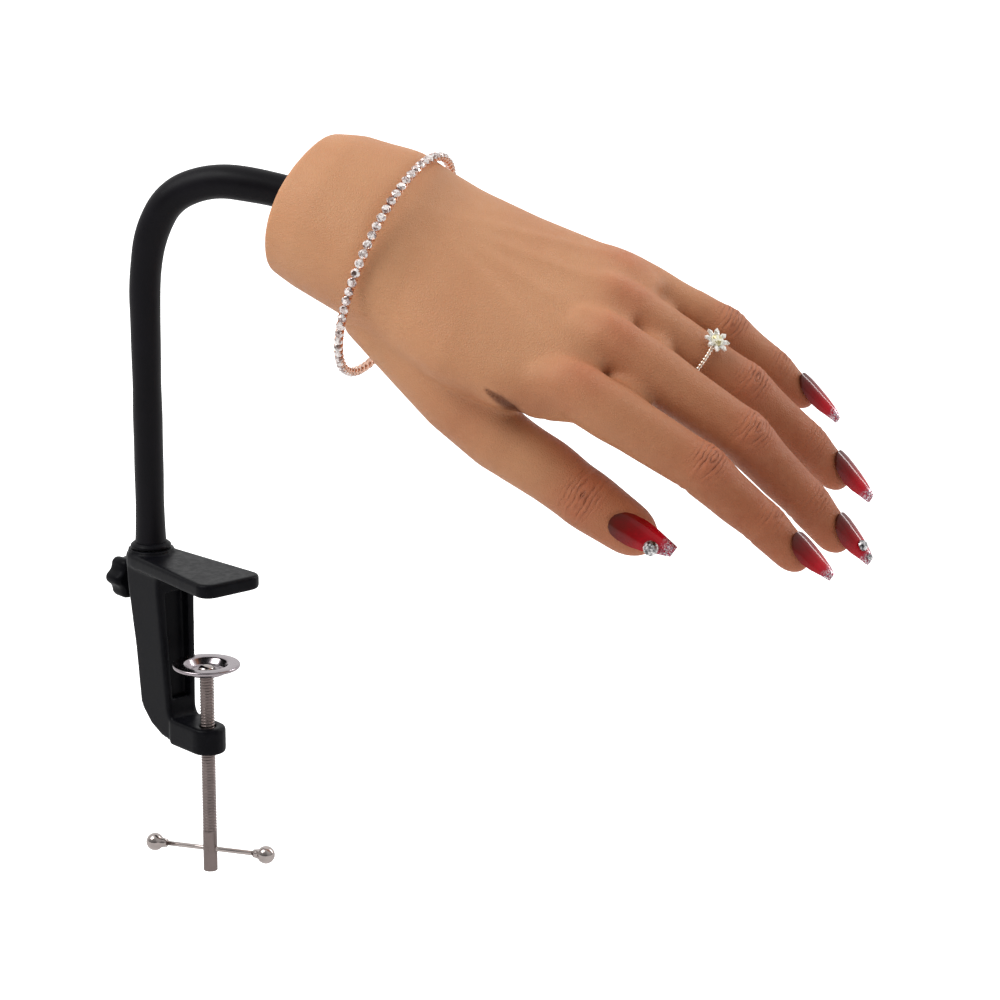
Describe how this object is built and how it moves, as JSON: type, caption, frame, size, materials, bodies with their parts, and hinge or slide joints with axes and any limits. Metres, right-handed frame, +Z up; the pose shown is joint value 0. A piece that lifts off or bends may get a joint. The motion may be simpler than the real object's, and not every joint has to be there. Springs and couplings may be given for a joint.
{
  "type": "nail practice hand",
  "caption": "Soft practice hand with red coffin nails, a bracelet and a ring, held on a flexible black neck by a screw clamp for a table edge.",
  "frame": {"origin": "the clamping screw's axis where it meets the underside of the top jaw, the face that rests on the table top", "axes": "+X from the clamp's arm to the jaw's tip, +Z up along the clamping screw, towards the neck and the hand"},
  "size_m": [0.2236, 0.1741, 0.2458],
  "materials": {
    "skin": "matte soft silicone, tan",
    "black_metal": "matte black paint",
    "black_rubber": "satin black sleeve",
    "black_plastic": "matte black",
    "steel": "bright, lightly turned",
    "rose_gold": "polished rose gold plating",
    "gel": "glossy deep red gel with fine glitter",
    "gem": "clear cut stone"
  },
  "bodies": {
    "clamp": {"clamp_body": "black_metal"},
    "pad": {"pressure_pad": "steel"},
    "screw": {"clamp_screw": "steel"},
    "bar": {"tommy_bar": "steel", "bar_ball_left": "steel", "bar_ball_right": "steel"},
    "knob": {"knob_head": "black_plastic", "knob_stud": "steel"},
    "neck_1": {"neck_spigot": "steel", "neck_collar": "black_metal", "neck_sleeve_1": "black_rubber", "neck_core_1": "steel"},
    "neck_2": {"neck_sleeve_2": "black_rubber", "neck_core_2": "steel"},
    "neck_3": {"neck_sleeve_3": "black_rubber", "neck_core_3": "steel"},
    "neck_4": {"neck_sleeve_4": "black_rubber", "neck_core_4": "steel"},
    "neck_5": {"neck_sleeve_5": "black_rubber", "neck_core_5": "steel"},
    "neck_6": {"neck_sleeve_6": "black_rubber", "neck_core_6": "steel"},
    "neck_7": {"neck_sleeve_7": "black_rubber", "neck_core_7": "steel"},
    "neck_8": {"neck_sleeve_8": "black_rubber", "neck_core_8": "steel"},
    "hand": {"palm_skin": "skin", "armature_plate": "steel", "wrist_socket": "black_plastic"},
    "index_base": {"index_skin_base": "skin", "index_link_base": "steel"},
    "index_tip": {"index_skin_tip": "skin", "index_link_tip": "steel", "index_nail": "gel"},
    "middle_base": {"middle_skin_base": "skin", "middle_link_base": "steel"},
    "middle_tip": {"middle_skin_tip": "skin", "middle_link_tip": "steel", "middle_nail": "gel", "middle_gem": "gem"},
    "ring_base": {"ring_skin_base": "skin", "ring_link_base": "steel"},
    "ring_tip": {"ring_skin_tip": "skin", "ring_link_tip": "steel", "ring_nail": "gel"},
    "pinky_base": {"pinky_skin_base": "skin", "pinky_link_base": "steel"},
    "pinky_tip": {"pinky_skin_tip": "skin", "pinky_link_tip": "steel", "pinky_nail": "gel"},
    "thumb_base": {"thumb_skin_base": "skin", "thumb_link_base": "steel"},
    "thumb_tip": {"thumb_skin_tip": "skin", "thumb_link_tip": "steel", "thumb_nail": "gel", "thumb_gem": "gem"},
    "bracelet": {"tennis_bracelet": "rose_gold"},
    "ring_band": {"flower_ring": "rose_gold"}
  },
  "joints": [
    {"name": "screw_travel", "type": "slide", "parent": "clamp", "child": "pad", "axis": [0, 0, 1], "range_m": [-0.017, 0.025]},
    {"name": "screw_turn", "type": "hinge", "parent": "pad", "child": "screw", "pos_m": [0, 0, -0.031], "axis": [0, 0, 1], "range_deg": [-6121, 9001]},
    {"name": "bar_slide", "type": "slide", "parent": "screw", "child": "bar", "axis": [0.8526, 0.5225, 0], "range_m": [-0.012, 0.012]},
    {"name": "knob_turn", "type": "hinge", "parent": "clamp", "child": "knob", "pos_m": [-0.0396, 0, -0.0069], "axis": [-1, 0, 0], "range_deg": [-180, 180]},
    {"name": "neck_swivel", "type": "hinge", "parent": "clamp", "child": "neck_1", "pos_m": [-0.0304, 0, 0.0063], "axis": [0, 0, 1], "continuous": true},
    {"name": "neck_bend_1", "type": "hinge", "parent": "neck_1", "child": "neck_2", "pos_m": [-0.0304, 0, 0.03459], "axis": [-0.6018, 0.7986, 0], "range_deg": [-20, 20]},
    {"name": "neck_bend_2", "type": "hinge", "parent": "neck_2", "child": "neck_3", "pos_m": [-0.0304, 0, 0.06204], "axis": [-0.7986, -0.6018, 0], "range_deg": [-20, 20]},
    {"name": "neck_bend_3", "type": "hinge", "parent": "neck_3", "child": "neck_4", "pos_m": [-0.0304, 0, 0.0895], "axis": [0.6018, -0.7986, 0], "range_deg": [-20, 20]},
    {"name": "neck_bend_4", "type": "hinge", "parent": "neck_4", "child": "neck_5", "pos_m": [-0.02922, 0.00089, 0.10642], "axis": [0.7865, 0.5927, -0.1736], "range_deg": [-20, 20]},
    {"name": "neck_bend_5", "type": "hinge", "parent": "neck_5", "child": "neck_6", "pos_m": [-0.02542, 0.00375, 0.11949], "axis": [-0.6018, 0.7986, 0], "range_deg": [-20, 20]},
    {"name": "neck_bend_6", "type": "hinge", "parent": "neck_6", "child": "neck_7", "pos_m": [-0.01849, 0.00898, 0.12744], "axis": [-0.3375, -0.2543, 0.9063], "range_deg": [-20, 20]},
    {"name": "neck_bend_7", "type": "hinge", "parent": "neck_7", "child": "neck_8", "pos_m": [-0.00526, 0.01894, 0.13036], "axis": [0.6018, -0.7986, 0], "range_deg": [-20, 20]},
    {"name": "hand_twist", "type": "hinge", "parent": "neck_8", "child": "hand", "pos_m": [0.01379, 0.0333, 0.12616], "axis": [0.7714, 0.5813, -0.2588], "range_deg": [-180, 180]},
    {"name": "index_knuckle", "type": "hinge", "parent": "hand", "child": "index_base", "pos_m": [0.11408, 0.06355, 0.07525], "axis": [-0.2888, 0.8395, 0.4602], "range_deg": [-15, 14]},
    {"name": "index_joint", "type": "hinge", "parent": "index_base", "child": "index_tip", "pos_m": [0.14479, 0.08612, 0.05335], "axis": [-0.2888, 0.8395, 0.4602], "range_deg": [-10, 30]},
    {"name": "middle_knuckle", "type": "hinge", "parent": "hand", "child": "middle_base", "pos_m": [0.11114, 0.08131, 0.08672], "axis": [-0.3045, 0.8304, 0.4665], "range_deg": [-20, 36]},
    {"name": "middle_joint", "type": "hinge", "parent": "middle_base", "child": "middle_tip", "pos_m": [0.1412, 0.10741, 0.05987], "axis": [-0.3045, 0.8304, 0.4665], "range_deg": [-10, 40]},
    {"name": "ring_knuckle", "type": "hinge", "parent": "hand", "child": "ring_base", "pos_m": [0.09976, 0.09501, 0.0958], "axis": [-0.3729, 0.7863, 0.4926], "range_deg": [-22, 34]},
    {"name": "ring_joint", "type": "hinge", "parent": "ring_base", "child": "ring_tip", "pos_m": [0.12483, 0.12269, 0.07061], "axis": [-0.3729, 0.7863, 0.4926], "range_deg": [-10, 42]},
    {"name": "pinky_knuckle", "type": "hinge", "parent": "hand", "child": "pinky_base", "pos_m": [0.08652, 0.1062, 0.10274], "axis": [-0.396, 0.7696, 0.5009], "range_deg": [-16, 38]},
    {"name": "pinky_joint", "type": "hinge", "parent": "pinky_base", "child": "pinky_tip", "pos_m": [0.10966, 0.12862, 0.0866], "axis": [-0.396, 0.7696, 0.5009], "range_deg": [-10, 40]},
    {"name": "thumb_knuckle", "type": "hinge", "parent": "hand", "child": "thumb_base", "pos_m": [0.08576, 0.05376, 0.05733], "axis": [-0.2106, -0.5749, -0.7907], "range_deg": [-12, 14]},
    {"name": "thumb_joint", "type": "hinge", "parent": "thumb_base", "child": "thumb_tip", "pos_m": [0.10801, 0.07099, 0.03888], "axis": [0.2106, 0.5749, 0.7907], "range_deg": [-12, 20]},
    {"name": "bracelet_turn", "type": "hinge", "parent": "hand", "child": "bracelet", "pos_m": [0.03682, 0.0518, 0.10551], "axis": [0.8199, 0.4639, -0.3355], "continuous": true},
    {"name": "ring_turn", "type": "hinge", "parent": "ring_base", "child": "ring_band", "pos_m": [0.09976, 0.09501, 0.0958], "axis": [0.5565, 0.6144, -0.5593], "range_deg": [-15, 15]}
  ],
  "couplings": [
    {"joint": "screw_turn", "follows": "screw_travel", "rad_per_m": 6283.2}
  ]
}
